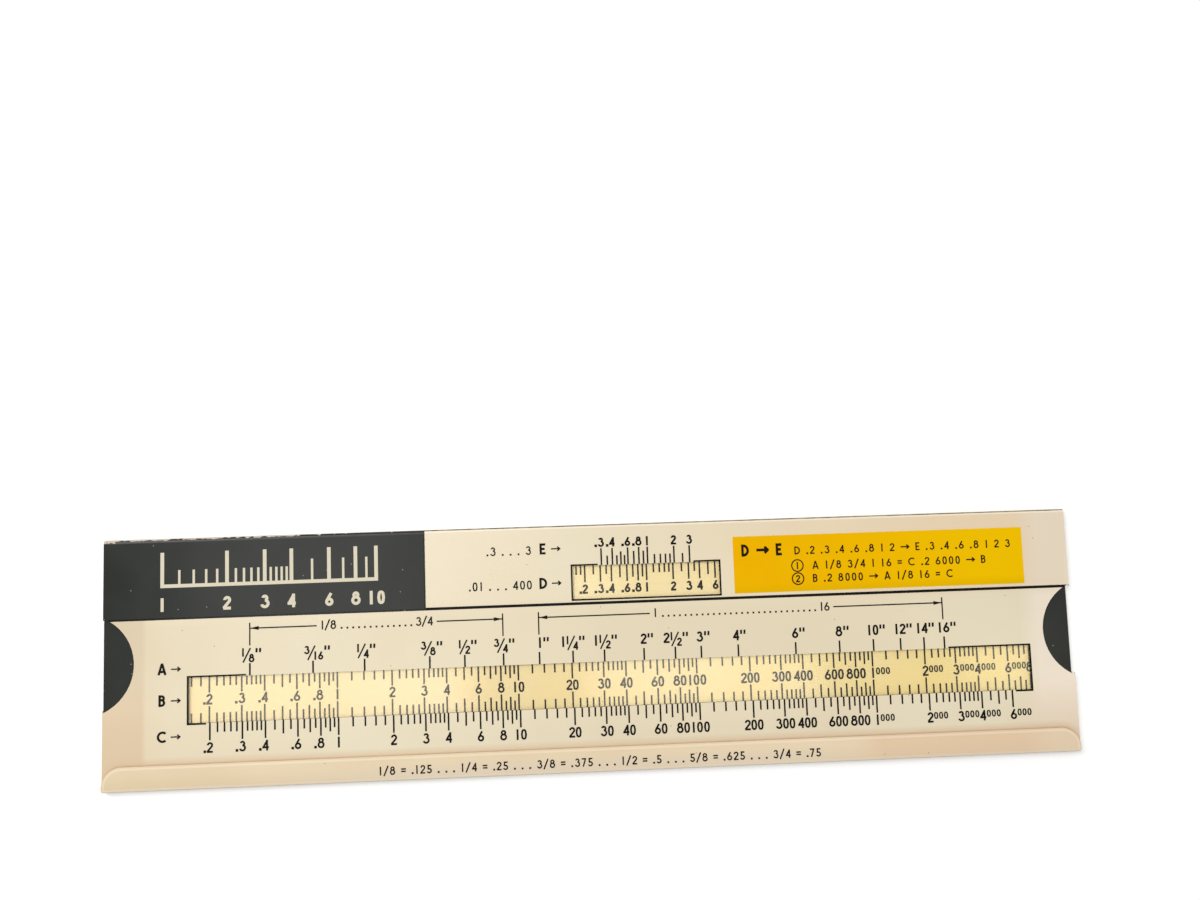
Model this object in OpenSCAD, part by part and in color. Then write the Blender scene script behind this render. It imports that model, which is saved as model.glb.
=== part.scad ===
// Slide chart calculator: a folded vinyl sleeve with two clear windows and a printed slide in it.
// Millimetres. X runs along the chart, Y up its printed face and Z out of that face.
// The origin lies under the middle of the sleeve, on the face that it rests on.

/* [Sleeve] */
// Length of the sleeve, end to end
sleeve_l = 254; // [220:1:300]
// Width of the sleeve, from the upper fold to the lower fold
sleeve_w = 64; // [60:0.5:80]
// Thickness of the vinyl sheet
sheet_t = 0.5; // [0.3:0.05:0.8]
// Height of the cemented flap above the sleeve's lower edge
flap_h = 6.4; // [5:0.1:9]
// Radius of the flap's two upper corners
flap_corner_r = 5; // [1:0.1:5]
// Gap between the front panel's lower edge and the lower fold
front_tuck = 0.2; // [0.1:0.05:0.5]
// Thickness of the cement under the flap
cement_t = 0.05; // [0.03:0.01:0.1]
// Distance that the cement stays inside the flap's edges
cement_inset = 1; // [0.5:0.1:2]

/* [Thumb notches] */
// Radius of the thumb notch at each end
notch_r = 13.1; // [11:0.1:16]
// Depth of the thumb notch from the sleeve's end
notch_depth = 7.9; // [5:0.1:10]
// Radius that eases the notch's two corners
notch_corner_r = 0.4; // [0.4:0.1:2]

/* [Slide] */
// Thickness of the slide
slide_t = 0.5; // [0.3:0.05:0.8]
// Play between the slide and each panel of the sleeve
slide_face_play = 0.15; // [0.12:0.01:0.3]
// Play between the slide and each fold of the sleeve
slide_edge_play = 0.3; // [0.1:0.05:0.6]
// Distance from each end of the centred slide to the sleeve's end
slide_end_recess = 0.35; // [0.3:0.05:3]
// Distance that the slide stands left of its centred place
slide_set = 0.35; // [0:0.05:0.5]
// Width of the dark print at each end of the slide
grip_w = 10.3; // [9:0.1:14]

/* [Windows] */
// Sleeve's left end to the main window
main_window_left = 21.7; // [18:0.1:30]
// Main window to the sleeve's right end
main_window_right = 12; // [11:0.1:20]
// Sleeve's lower edge to the main window
main_window_bottom = 16.6; // [15:0.1:18]
// Height of the main window
main_window_h = 11.6; // [10:0.1:13]
// Centre of the upper window, right of the sleeve's middle
upper_window_x = 13.65; // [8:0.05:20]
// Width of the upper window
upper_window_w = 38.9; // [30:0.1:46]
// Height of the upper window
upper_window_h = 8.7; // [7:0.1:10]

/* [Print] */
// Thickness of a printed layer
ink_t = 0.05; // [0.03:0.01:0.08]
// Sleeve's lower edge to the dividing line
divider_bottom = 43.1; // [42.5:0.1:45]
// Height of the dividing line
divider_h = 0.7; // [0.3:0.05:0.8]
// Length of the dark header block
header_w = 82.7; // [60:0.1:90]
// Angle that the header block wraps round the upper fold
header_wrap = 60; // [20:1:70]
// Dividing line to the upper window and to the label
upper_gap = 0.8; // [0.6:0.1:2]
// Upper window to the label
label_gap = 3.9; // [2:0.1:8]
// Height of the yellow label
label_h = 14.9; // [10:0.1:16]
// Width of the lines round the windows
outline_w = 0.4; // [0.2:0.02:0.5]
// Gap between those lines and the nearest graduation
outline_gap = 1; // [0.5:0.1:2]

/* [Scales] */
// Length of one decade of the main scales
decade_l = 46.8; // [40:0.1:52]
// Main window's left end to 1 on the fixed scale
one_from_window = 38.15; // [30:0.05:45]
// Width of a graduation
tick_w = 0.42; // [0.2:0.02:0.5]
// Length of a short graduation
tick_short = 2.4; // [1.5:0.1:2.6]
// Length of a medium graduation
tick_medium = 3.4; // [2.6:0.1:3.6]
// Length of a numbered graduation
tick_long = 4.4; // [3.6:0.1:4.6]
// Length of a numbered graduation on the slide's main scale
slide_tick_long = 4.1; // [3.2:0.1:4.2]
// Bare stretch between the ends of the main window and its fixed graduations
main_margin = 5; // [4:0.1:6]
// Bare stretch between the ends of the upper window and its fixed graduations
upper_margin = 6.5; // [6:0.1:7]
// Length that the slide's graduations run on behind the window's edges
tick_overrun = 0.4; // [0.2:0.1:1]

/* [Sizes row] */
// Length of the marks that point down to the main window
size_tick_l = 3.1; // [2:0.1:4]
// Height kept clear above those marks for their figures
figure_space = 4.5; // [3.5:0.1:5]
// Gap between the brackets and the dividing line
bracket_gap = 1.5; // [1:0.1:2.5]
// Depth of a bracket's line below its top
bracket_line_drop = 1.4; // [0.8:0.1:2]
// Width of the brackets' lines
bracket_w = 0.32; // [0.2:0.02:0.5]
// Length of an arrowhead
arrow_l = 2.3; // [1:0.1:3]
// Height of an arrowhead
arrow_h = 1; // [0.6:0.1:1.4]
// Gap in the left bracket's line for its legend
left_legend_w = 31; // [10:1:40]
// Gap in the right bracket's line for its legend
right_legend_w = 48.8; // [10:0.1:60]

/* [Hidden] */
$fn = 96;

// Colours as the photograph shows them
ivory = "#e6d9bd";
pane_yellow = [1, 0.97, 0.9, 0.15];
card_cream = "#f8e3a8";
dark_ink = "#3b3c39";
black_ink = "#24221f";
label_yellow = "#ecbe00";
cement_clear = "#d8c08a";

// Ends, edges and levels of the folded sheet
half_l = sleeve_l / 2;
half_w = sleeve_w / 2;
slot_h = slide_t + 2 * slide_face_play;
front_z = sheet_t + slot_h;
face_z = front_z + sheet_t;
flap_z = face_z + cement_t;
top_fold_r = face_z / 2;
bottom_fold_r = (flap_z + sheet_t) / 2;
top_fold_y = half_w - top_fold_r;
bottom_fold_y = bottom_fold_r - half_w;
front_bottom_y = bottom_fold_y + front_tuck;
flap_top_y = flap_h - half_w;
flap_flat_h = flap_top_y - bottom_fold_y;
flap_r = min(flap_corner_r, flap_flat_h - cement_t);

// Thumb notch at the right end: its centre and the centre of the arc that eases its corner
notch_x = half_l + notch_r - notch_depth;
ease_x = half_l - notch_corner_r;
ease_y = sqrt((notch_r + notch_corner_r) ^ 2 - (notch_x - ease_x) ^ 2);
notch_share = notch_r / (notch_r + notch_corner_r);
// Length by which cutting shapes reach past what they cut
cut_over = 1;

// Slide
slide_l = sleeve_l - 2 * slide_end_recess;
slide_z = sheet_t + slide_face_play;
slide_face_z = slide_z + slide_t;
slide_bottom_y = bottom_fold_y + slide_edge_play;
slide_top_y = top_fold_y - slide_edge_play;
light_half_l = slide_l / 2 - grip_w;

// Windows and blocks of print
main_x0 = main_window_left - half_l;
main_x1 = half_l - main_window_right;
main_y0 = main_window_bottom - half_w;
main_y1 = main_y0 + main_window_h;
divider_y = divider_bottom - half_w;
upper_y0 = divider_y + divider_h + upper_gap;
upper_y1 = upper_y0 + upper_window_h;
upper_x0 = upper_window_x - upper_window_w / 2;
upper_x1 = upper_window_x + upper_window_w / 2;
label_x0 = upper_x1 + label_gap;
header_x1 = header_w - half_l;

// Graduations in tenths of a decade's first number, with the numbered and the medium ones
main_marks = [each [10:2:38], each [40:5:95]];
gravity_marks = [each [10:2:18], each [20:5:55], each [60:10:90]];
pressure_marks = [each [10:2:18], each [20:5:35], each [40:10:90]];
numbered = [10, 20, 30, 40, 60, 80];
medium = [50, 70, 90];
main_decades = [-1:3];
gravity_decades = [-1:0];
pressure_decades = [-2:2];
// Last value on the slide's upper scale
pressure_top = 400;
fixed_lengths = [tick_short, tick_medium, tick_long];
slide_lengths = [for (l = [tick_short, tick_medium, slide_tick_long]) l + tick_overrun];
hidden_lengths = [for (l = fixed_lengths) l + tick_overrun];

function holds(list, value) = len([for (item = list) if (item == value) item]) > 0;
function tick_length(mark, lengths) =
    holds(numbered, mark) ? lengths[2] : holds(medium, mark) ? lengths[1] : lengths[0];
// Places and lengths of the graduations between x = low and x = high
function graduations(one_x, decade, decades, marks, lengths, low, high) = [
    for (exponent = decades, mark = marks)
        let (x = one_x + decade * (exponent + log(mark / 10)))
            if (x >= low && x <= high) [x, tick_length(mark, lengths)]
];
function column(rows, index) = [for (row = rows) row[index]];

// The two fixed scales and the two scales of the slide, centred in the sleeve
half_decade_l = decade_l / 2;
main_one_x = main_x0 + one_from_window;
upper_one_x = upper_window_x - half_decade_l * (log(0.3) + log(3)) / 2;
fixed_ticks = graduations(main_one_x, decade_l, main_decades, main_marks, fixed_lengths,
    main_x0 + main_margin, main_x1 - main_margin);
gravity_ticks = graduations(upper_one_x, half_decade_l, gravity_decades, gravity_marks, fixed_lengths,
    upper_x0 + upper_margin, upper_x1 - upper_margin);
flow_ticks = graduations(main_one_x, decade_l, main_decades, main_marks, slide_lengths,
    tick_w - light_half_l, light_half_l - tick_w);
pressure_ticks = graduations(upper_one_x, half_decade_l, pressure_decades, pressure_marks, hidden_lengths,
    tick_w - light_half_l, upper_one_x + half_decade_l * log(pressure_top) + tick_w);

// Capacity on the fixed scale that each size in the sizes row points to, small sizes and large sizes
small_sizes = [0.33, 0.73, 1.4, 3.2, 5, 8.2];
large_sizes = [13, 20, 30, 50, 75, 105, 170, 360, 640, 1000, 1430, 1950, 2550];
function size_places(capacities) = [
    for (capacity = capacities)
        let (x = main_one_x + decade_l * log(capacity))
            if (x >= main_x0 + main_margin && x <= main_x1 - main_margin) x
];
small_x = size_places(small_sizes);
large_x = size_places(large_sizes);
bracket_y0 = main_y1 + size_tick_l + figure_space;
bracket_y1 = divider_y - bracket_gap;
bracket_line_y = bracket_y1 - bracket_line_drop;

// Rectangle from its two corners
module rectangle(x0, y0, x1, y1) {
    translate([x0, y0]) square([x1 - x0, y1 - y0]);
}

// Printed rectangle that lies on the level z
module ink(x0, y0, x1, y1, z) {
    translate([0, 0, z]) linear_extrude(ink_t) rectangle(x0, y0, x1, y1);
}

// Section drawn in Y and Z, swept along X about the middle
module along_x(length) {
    rotate([90, 0, 90]) linear_extrude(length, center = true) children();
}

// Outline of the right-hand thumb notch, with eased corners
module notch_outline() {
    translate([notch_x, 0]) circle(notch_r);
    difference() {
        polygon([
            [notch_x, 0],
            [notch_x + (ease_x - notch_x) * notch_share, ease_y * notch_share],
            [ease_x, ease_y],
            [half_l + cut_over, ease_y],
            [half_l + cut_over, -ease_y],
            [ease_x, -ease_y],
            [notch_x + (ease_x - notch_x) * notch_share, -ease_y * notch_share]
        ]);
        for (side = [-1, 1]) {
            translate([ease_x, side * ease_y]) circle(notch_corner_r);
        }
    }
}

module both_notches() {
    notch_outline();
    mirror([1, 0]) notch_outline();
}

// Flat panel of the sleeve between two heights, with its thumb notches
module panel_outline(y0, y1) {
    difference() {
        rectangle(-half_l, y0, half_l, y1);
        both_notches();
    }
}

module main_window() {
    rectangle(main_x0, main_y0, main_x1, main_y1);
}

module upper_window() {
    rectangle(upper_x0, upper_y0, upper_x1, upper_y1);
}

// Half ring of the folded sheet, open towards -X
module fold_section(radius) {
    difference() {
        circle(radius);
        circle(radius - sheet_t);
        rectangle(-2 * radius, -2 * radius, 0, 2 * radius);
    }
}

module front_panel() {
    color(ivory) translate([0, 0, front_z]) linear_extrude(sheet_t) difference() {
        panel_outline(front_bottom_y, top_fold_y);
        main_window();
        upper_window();
    }
}

module back_panel() {
    color(ivory) linear_extrude(sheet_t) panel_outline(bottom_fold_y, top_fold_y);
}

module top_fold() {
    color(ivory) along_x(sleeve_l) translate([top_fold_y, top_fold_r]) fold_section(top_fold_r);
}

module bottom_fold() {
    color(ivory) along_x(sleeve_l)
        translate([bottom_fold_y, bottom_fold_r]) mirror([1, 0]) fold_section(bottom_fold_r);
}

module seal_flap() {
    color(ivory) translate([0, 0, flap_z]) linear_extrude(sheet_t) intersection() {
        rectangle(-half_l, bottom_fold_y, half_l, flap_top_y);
        union() {
            rectangle(-half_l, bottom_fold_y, half_l, flap_top_y - flap_r);
            rectangle(flap_r - half_l, bottom_fold_y, half_l - flap_r, flap_top_y);
            for (side = [-1, 1]) {
                translate([side * (half_l - flap_r), flap_top_y - flap_r]) circle(flap_r);
            }
        }
    }
}

module flap_cement() {
    cement_x = half_l - flap_r - cement_inset;
    color(cement_clear) translate([0, 0, face_z]) linear_extrude(cement_t)
        rectangle(-cement_x, front_bottom_y, cement_x, flap_top_y - cement_inset);
}

module main_window_pane() {
    color(pane_yellow) translate([0, 0, front_z]) linear_extrude(sheet_t) main_window();
}

module upper_window_pane() {
    color(pane_yellow) translate([0, 0, front_z]) linear_extrude(sheet_t) upper_window();
}

// Dark block that starts on the face and wraps over the upper fold
module header_print() {
    reach = 3 * top_fold_r;
    color(dark_ink) {
        translate([0, 0, face_z]) linear_extrude(ink_t) difference() {
            rectangle(-half_l, divider_y, header_x1, top_fold_y);
            both_notches();
        }
        translate([(header_x1 - half_l) / 2, 0, 0]) along_x(header_w)
            translate([top_fold_y, top_fold_r]) intersection() {
                difference() {
                    circle(top_fold_r + ink_t);
                    circle(top_fold_r);
                }
                polygon([[0, 0], [0, reach], [reach * sin(header_wrap), reach * cos(header_wrap)]]);
            }
    }
}

module label_print() {
    color(label_yellow) ink(label_x0, upper_y0, main_x1, upper_y0 + label_h, face_z);
}

module divider_print() {
    color(black_ink) translate([0, 0, face_z]) linear_extrude(ink_t) difference() {
        rectangle(header_x1, divider_y, half_l, divider_y + divider_h);
        both_notches();
    }
}

// Lines round the windows, which stop short of the graduations along the windows' edges
module window_outline_print() {
    marks_above = concat(small_x, large_x);
    marks_below = column(fixed_ticks, 0);
    marks_upper = column(gravity_ticks, 0);
    color(black_ink) translate([0, 0, face_z]) linear_extrude(ink_t) {
        window_sides(main_x0, main_y0, main_x1, main_y1);
        broken_line(main_x0, main_x1, main_y1, marks_above);
        broken_line(main_x0, main_x1, main_y0 - outline_w, marks_below);
        window_sides(upper_x0, upper_y0, upper_x1, upper_y1);
        broken_line(upper_x0, upper_x1, upper_y1, marks_upper);
        rectangle(upper_x0 - outline_w, upper_y0 - outline_w, upper_x1 + outline_w, upper_y0);
    }
}

module window_sides(x0, y0, x1, y1) {
    rectangle(x0 - outline_w, y0 - outline_w, x0, y1 + outline_w);
    rectangle(x1, y0 - outline_w, x1 + outline_w, y1 + outline_w);
}

module broken_line(x0, x1, y, marks) {
    rectangle(x0 - outline_w, y, min(marks) - outline_gap, y + outline_w);
    rectangle(max(marks) + outline_gap, y, x1 + outline_w, y + outline_w);
}

// End bars, arrows and the two stretches of line on either side of the legend's gap
module bracket(x0, x1, legend_w) {
    middle = (x0 + x1) / 2;
    gap = min(legend_w, x1 - x0 - 4 * arrow_l);
    for (side = [0, 1]) {
        translate([middle, 0]) mirror([side, 0]) {
            rectangle(x0 - middle - bracket_w / 2, bracket_y0, x0 - middle + bracket_w / 2, bracket_y1);
            rectangle(x0 - middle, bracket_line_y - bracket_w / 2, -gap / 2, bracket_line_y + bracket_w / 2);
            translate([x0 - middle, bracket_line_y])
                polygon([[0, 0], [arrow_l, -arrow_h / 2], [arrow_l, arrow_h / 2]]);
        }
    }
}

module bracket_print() {
    color(black_ink) translate([0, 0, face_z]) linear_extrude(ink_t) {
        bracket(min(small_x), max(small_x), left_legend_w);
        bracket(min(large_x), max(large_x), right_legend_w);
    }
}

module size_scale_print() {
    color(black_ink) for (x = concat(small_x, large_x)) {
        ink(x - tick_w / 2, main_y1, x + tick_w / 2, main_y1 + size_tick_l, face_z);
    }
}

// Row of graduations that rise from the height y, or hang from it
module tick_row(ticks, y, rising, z) {
    for (tick = ticks) {
        ink(tick[0] - tick_w / 2, rising ? y : y - tick[1], tick[0] + tick_w / 2, rising ? y + tick[1] : y, z);
    }
}

module fixed_scale_print() {
    color(black_ink) tick_row(fixed_ticks, main_y0, false, face_z);
}

module gravity_scale_print() {
    color(black_ink) tick_row(gravity_ticks, upper_y1, true, face_z);
}

// What follows belongs to the slide, which stands a little left of its centred place
module on_slide() {
    translate([-slide_set, 0, 0]) children();
}

module slide_card() {
    color(card_cream) on_slide() translate([0, 0, slide_z]) linear_extrude(slide_t)
        rectangle(-slide_l / 2, slide_bottom_y, slide_l / 2, slide_top_y);
}

// Dark print on both faces of the slide's two ends
module slide_end_print() {
    color(dark_ink) on_slide() for (z = [slide_z - ink_t, slide_face_z], side = [0, 1]) {
        mirror([side, 0, 0]) ink(light_half_l, slide_bottom_y, slide_l / 2, slide_top_y, z);
    }
}

module slide_flow_print() {
    color(black_ink) on_slide() {
        tick_row(flow_ticks, main_y1 + tick_overrun, false, slide_face_z);
        tick_row(flow_ticks, main_y0 - tick_overrun, true, slide_face_z);
    }
}

module slide_pressure_print() {
    color(black_ink) on_slide() tick_row(pressure_ticks, upper_y1 + tick_overrun, false, slide_face_z);
}

front_panel();
back_panel();
top_fold();
bottom_fold();
seal_flap();
flap_cement();
main_window_pane();
upper_window_pane();
header_print();
label_print();
divider_print();
window_outline_print();
bracket_print();
size_scale_print();
fixed_scale_print();
gravity_scale_print();
slide_card();
slide_end_print();
slide_flow_print();
slide_pressure_print();
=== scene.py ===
"""Looks of the slide chart calculator: a folded vinyl sleeve, clear windows and a printed slide.

Values are in millimetres unless said otherwise, and MM turns them to metres where a piece is finished.
"""

import math

import bmesh
import bpy
from mathutils import Matrix, Vector


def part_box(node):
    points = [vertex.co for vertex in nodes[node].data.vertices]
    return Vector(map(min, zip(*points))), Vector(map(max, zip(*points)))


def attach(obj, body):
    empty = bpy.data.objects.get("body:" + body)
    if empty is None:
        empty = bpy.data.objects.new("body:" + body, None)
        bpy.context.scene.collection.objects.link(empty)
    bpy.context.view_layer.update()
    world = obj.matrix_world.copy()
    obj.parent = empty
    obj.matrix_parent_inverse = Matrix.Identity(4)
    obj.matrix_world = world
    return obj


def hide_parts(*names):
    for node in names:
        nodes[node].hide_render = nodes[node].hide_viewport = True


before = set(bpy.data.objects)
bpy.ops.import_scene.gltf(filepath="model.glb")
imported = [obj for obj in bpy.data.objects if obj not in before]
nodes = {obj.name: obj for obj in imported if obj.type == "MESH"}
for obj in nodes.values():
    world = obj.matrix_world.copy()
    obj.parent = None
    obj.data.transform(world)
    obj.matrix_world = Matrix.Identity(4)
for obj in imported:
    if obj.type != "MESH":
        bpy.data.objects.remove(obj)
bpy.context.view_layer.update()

MM = 0.001


def box_mm(node):
    """Lowest and highest corner of a CAD node."""
    low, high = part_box(node)
    return low / MM, high / MM


# Levels of the printed faces and the edges that the print follows, taken from the frame
FACE_Z = box_mm("front_panel")[1].z
INK_Z = box_mm("label_print")[1].z
INK_T = INK_Z - FACE_Z
FLAP_END, FLAP_TOP, FLAP_Z = box_mm("seal_flap")[1]
# Radius of the flap's corners
FLAP_CORNER = 5
MAIN_LOW, MAIN_HIGH = box_mm("main_window_pane")
UPPER_LOW, UPPER_HIGH = box_mm("upper_window_pane")
HEADER_LOW, HEADER_HIGH = box_mm("header_print")
SLIDE_LOW, SLIDE_HIGH = box_mm("slide_card")
SLIDE_Z = SLIDE_HIGH.z
SLIDE_SHIFT = (SLIDE_LOW.x + SLIDE_HIGH.x) / 2
# Where the dark print at the slide's right end starts
DARK_END = min(v.co.x for v in nodes["slide_end_print"].data.vertices if v.co.x > 0) / MM

# Logarithmic scales: the length of a decade and the place of 1, which is set in from the main window's left
# edge, and lies on the upper scales so that the run from .3 to 3 is centred in the upper window
MAIN_DECADE = 46.8
UPPER_DECADE = MAIN_DECADE / 2
ONE_INSET = 38.15
MAIN_ONE = MAIN_LOW.x + ONE_INSET
UPPER_ONE = (UPPER_LOW.x + UPPER_HIGH.x) / 2 - UPPER_DECADE * (math.log10(0.3) + math.log10(3)) / 2


def main_x(value):
    """Place of a value on the main scales."""
    return MAIN_ONE + MAIN_DECADE * math.log10(value)


def upper_x(value):
    """Place of a value on the upper scales."""
    return UPPER_ONE + UPPER_DECADE * math.log10(value)


# Colours and nodes


def linear(hex_colour):
    """An sRGB hex colour as linear RGBA."""
    channels = [int(hex_colour[i : i + 2], 16) / 255 for i in (1, 3, 5)]
    return [c / 12.92 if c <= 0.04045 else ((c + 0.055) / 1.055) ** 2.4 for c in channels] + [1.0]


WHITE = linear("#ffffff")


def repeats(size):
    """Texture scale, in repeats a metre, of a pattern that is this many millimetres across."""
    return 1 / (size * MM)


def add(tree, kind, links=None, **settings):
    """Adds a shader node: settings are its properties, links its sockets' values or what feeds them."""
    made = tree.nodes.new("ShaderNode" + kind)
    for name, value in settings.items():
        setattr(made, name, value)
    for socket, value in (links or {}).items():
        if isinstance(value, bpy.types.NodeSocket):
            tree.links.new(value, made.inputs[socket])
        else:
            made.inputs[socket].default_value = value
    return made


def share(tree, *spans):
    """Share of a surface that lies in all the spans.

    A span is a share that is known already, or a value and the two limits between which its share rises
    from 0 to 1, or to a number that comes last.
    """
    product = None
    for span in spans:
        if isinstance(span, tuple):
            value, low, high, top = (*span, 1.0)[:4]
            links = {"Value": value, "From Min": low, "From Max": high, "To Max": top}
            span = add(tree, "MapRange", links).outputs["Result"]
        if product is None:
            product = span
        else:
            product = add(tree, "Math", {0: product, 1: span}, operation="MULTIPLY").outputs[0]
    return product


def tint(tree, colour, over, *spans):
    """Lays one colour over another by the share of the spans. A colour is a hex value or a socket."""
    first, second = (linear(c) if isinstance(c, str) else c for c in (colour, over))
    return add(tree, "Mix", {0: share(tree, *spans), 6: first, 7: second}, data_type="RGBA").outputs[2]


def start_material(name):
    """An empty material, with its node tree and its object coordinates."""
    material = bpy.data.materials.new(name)
    material.use_nodes = True
    tree = material.node_tree
    tree.nodes.clear()
    return material, tree, add(tree, "TexCoord").outputs["Object"]


def axes_mm(tree, place):
    """X, Y and Z of a place, in millimetres."""
    scaled = add(tree, "VectorMath", {0: place, "Scale": 1 / MM}, operation="SCALE").outputs["Vector"]
    return add(tree, "SeparateXYZ", {"Vector": scaled}).outputs


def close_material(material, links):
    """Gives a material its shaded surface."""
    shader = add(material.node_tree, "BsdfPrincipled", links).outputs["BSDF"]
    add(material.node_tree, "OutputMaterial", {"Surface": shader})
    return material


# Radius of a speck's dense middle, over its whole radius
SPECK_CORE = 0.6


def specks(tree, place, spacing, radius, kept):
    """Share of a surface that specks cover: one in each cell of the spacing, of which that part is kept."""
    cells = add(tree, "TexVoronoi", {"Vector": place, "Scale": repeats(spacing)}, voronoi_dimensions="2D")
    rim = radius / spacing
    chance = add(tree, "SeparateColor", {"Color": cells.outputs["Color"]}).outputs["Red"]
    drawn = add(tree, "Math", {0: chance, 1: kept}, operation="LESS_THAN").outputs[0]
    return share(tree, (cells.outputs["Distance"], rim, rim * SPECK_CORE), drawn)


def off_flap(tree, x, y):
    """Distance from the flap's edge, with its round corners: negative on the flap, positive off it."""
    beside = add(tree, "Math", {0: x}, operation="ABSOLUTE").outputs[0]
    gaps = []
    for value, straight_end in ((beside, FLAP_END - FLAP_CORNER), (y, FLAP_TOP - FLAP_CORNER)):
        past = add(tree, "Math", {0: value, 1: straight_end}, operation="SUBTRACT").outputs[0]
        gaps.append(add(tree, "Math", {0: past, 1: 0.0}, operation="MAXIMUM").outputs[0])
    corner = add(tree, "CombineXYZ", {0: gaps[0], 1: gaps[1]}).outputs[0]
    reach = add(tree, "VectorMath", {0: corner}, operation="LENGTH").outputs["Value"]
    return add(tree, "Math", {0: reach, 1: FLAP_CORNER}, operation="SUBTRACT").outputs[0]


# Finishes

VINYL_IOR = 1.53
INK_IOR = 1.5
# Range of the roughness of satin vinyl sheet
SATIN = {"To Min": 0.34, "To Max": 0.46}
SHEET_SPECK = "#8d7a63"


def sheet_grain(tree, place):
    """Grain of calendered sheet, drawn as coarse as it needs to show, and the normal of its bump."""
    grain = add(tree, "TexNoise", {"Vector": place, "Scale": repeats(0.9), "Detail": 2.0}).outputs["Fac"]
    bump = add(tree, "Bump", {"Height": grain, "Strength": 0.25, "Distance": 0.01 * MM})
    return grain, bump.outputs["Normal"]


def vinyl_sheet():
    """Calendered vinyl sheet, aged: satin, unevenly yellowed, with specks. The top fold has a painted
    highlight and a dark line that is partly dirt, partly painted shade, and painted shade lies along the
    flap's edge.
    """
    material, tree, place = start_material("ivory_vinyl")
    x, y, z = axes_mm(tree, place)
    yellowing = add(tree, "TexNoise", {"Vector": place, "Scale": repeats(45), "Detail": 3.0}).outputs["Fac"]
    colour = tint(tree, "#ebdfc2", "#e7d8b9", (yellowing, 0.35, 0.68))
    # Age has tinted it least beside the header, and more to the right
    upper = share(tree, (y, 9, 14))
    colour = tint(tree, colour, "#efe1c4", upper, (x, -5, -40, 0.9))
    colour = tint(tree, colour, "#e5d7b8", (x, -30, 5), (x, 90, 55), (y, -14, -3), (y, 14, 9))
    colour = tint(tree, colour, "#ebd3b0", upper, (x, 5, 100, 0.9))
    colour = tint(tree, colour, "#ecdcc4", upper, (x, 113, 119, 0.9))
    # The left margin is browner with a crisp inner edge: painted show-through, darker where the slide's
    # dark end lies under the sheet. The right end is paler.
    margin = tint(tree, "#deccad", "#dfc7a5", (y, -4, -16))
    colour = tint(tree, colour, margin, (x, -109, -116.5, 0.3))
    colour = tint(tree, colour, margin, (x, -115.9, -117.2))
    tip = tint(tree, "#f3e5d1", "#ebd7bd", (y, -12, -25))
    colour = tint(tree, colour, tip, (x, 113, 118), (y, 13, 9))
    # The ridge of the top fold has a painted highlight, and behind it runs a dark line that is partly dirt
    # and partly painted shade where the fold turns down
    wear_and_sheen_noise = add(tree, "TexNoise", {"Vector": place, "Scale": repeats(2.5), "Detail": 4.0}).outputs["Fac"]
    fold_dirt_and_shade = add(tree, "MapRange", {"Value": wear_and_sheen_noise, "From Min": 0.3, "From Max": 0.6, "To Min": 0.7})
    # Painted highlight along the top fold
    colour = tint(tree, colour, "#fff3dc", (y, 31.1, 31.4, 0.6), (y, 31.7, 31.6))
    # Dark line at the fold's edge: partly dirt, partly painted shade
    colour = tint(tree, colour, "#2a241c", fold_dirt_and_shade.outputs["Result"], (y, 31.63, 31.76), (z, 0.8, 1.25))
    # Painted shade along the flap's edge: a soft darker band, and a thin dark line in the crevice at its
    # foot
    off = off_flap(tree, x, y)
    colour = tint(tree, colour, "#dabf9f", (off, 2.0, 0.2, 0.75))
    colour = tint(tree, colour, "#b99a77", (off, 0.45, 0.1, 0.5))
    colour = tint(tree, colour, SHEET_SPECK, specks(tree, place, 9, 0.16, 0.22))
    rough = add(tree, "MapRange", {"Value": wear_and_sheen_noise, "From Min": 0.25, "From Max": 0.75, **SATIN})
    links = {"Base Color": colour, "Roughness": rough.outputs["Result"], "IOR": VINYL_IOR}
    return close_material(material, {**links, "Normal": sheet_grain(tree, place)[1]})


def flap_vinyl():
    """The same sheet where it was folded over: warmer, pinker to the right, darker towards the fold."""
    material, tree, place = start_material("flap_vinyl")
    x, y, _ = axes_mm(tree, place)
    yellowing = add(tree, "TexNoise", {"Vector": place, "Scale": repeats(30), "Detail": 3.0}).outputs["Fac"]
    colour = tint(tree, "#e4d0ac", "#dfc9a5", (yellowing, 0.35, 0.68))
    colour = tint(tree, colour, "#e7d2b0", (x, -10, 50))
    colour = tint(tree, colour, "#e4c7a5", (x, 66, 74))
    colour = tint(tree, colour, "#d9c2a0", (y, -28, -31, 0.4))
    colour = tint(tree, colour, "#decdb3", (x, -90, -50), (x, 75, 45), (y, -27.5, -29.5, 0.8))
    colour = tint(tree, colour, "#e6cfb0", (x, 112, 120, 0.8))
    # Its edge and the fold carry painted highlights, and the fold's underside is darkened by painted shadow
    off = off_flap(tree, x, y)
    # Painted highlight along the flap's edge, following its round corners
    colour = tint(tree, colour, "#f7e4c8", (off, -0.95, -0.65, 0.5), (off, -0.25, -0.4))
    # Painted highlight on the bottom fold
    colour = tint(tree, colour, "#f7e6cb", (y, -30.9, -31.25, 0.6), (y, -31.8, -31.7))
    # Painted shadow on the fold's underside
    colour = tint(tree, colour, "#8a7557", (y, -31.72, -31.88, 0.9))
    colour = tint(tree, colour, SHEET_SPECK, specks(tree, place, 12, 0.16, 0.25))
    grain, normal = sheet_grain(tree, place)
    rough = add(tree, "MapRange", {"Value": grain, **SATIN}).outputs["Result"]
    links = {"Base Color": colour, "Roughness": rough, "IOR": VINYL_IOR, "Normal": normal}
    return close_material(material, links)


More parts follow.
